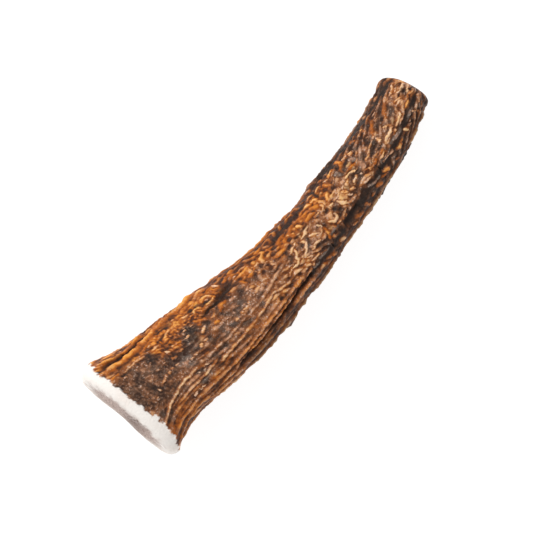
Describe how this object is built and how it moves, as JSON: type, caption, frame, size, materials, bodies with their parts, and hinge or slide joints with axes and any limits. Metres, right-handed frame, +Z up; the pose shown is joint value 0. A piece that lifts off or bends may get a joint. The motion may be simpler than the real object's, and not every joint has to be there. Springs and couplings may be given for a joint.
{
  "type": "deer antler piece",
  "caption": "Sawn length of deer antler beam, curved and tapered, with ridged brown bark, an oval sawn base and a small ground tip.",
  "frame": {"origin": "the middle of the footprint, on the surface that the antler lies on", "axes": "+X along the chord from the sawn base to the tip, +Y towards the inside of the bend, +Z up"},
  "size_m": [0.1776, 0.0518, 0.0315],
  "materials": {
    "antler": "ridged and beaded bark, dark brown in the grooves and worn to tan and cream on the ridges, over ivory bone at both ends"
  },
  "bodies": {
    "root": {"antler": "antler"}
  },
  "joints": []
}
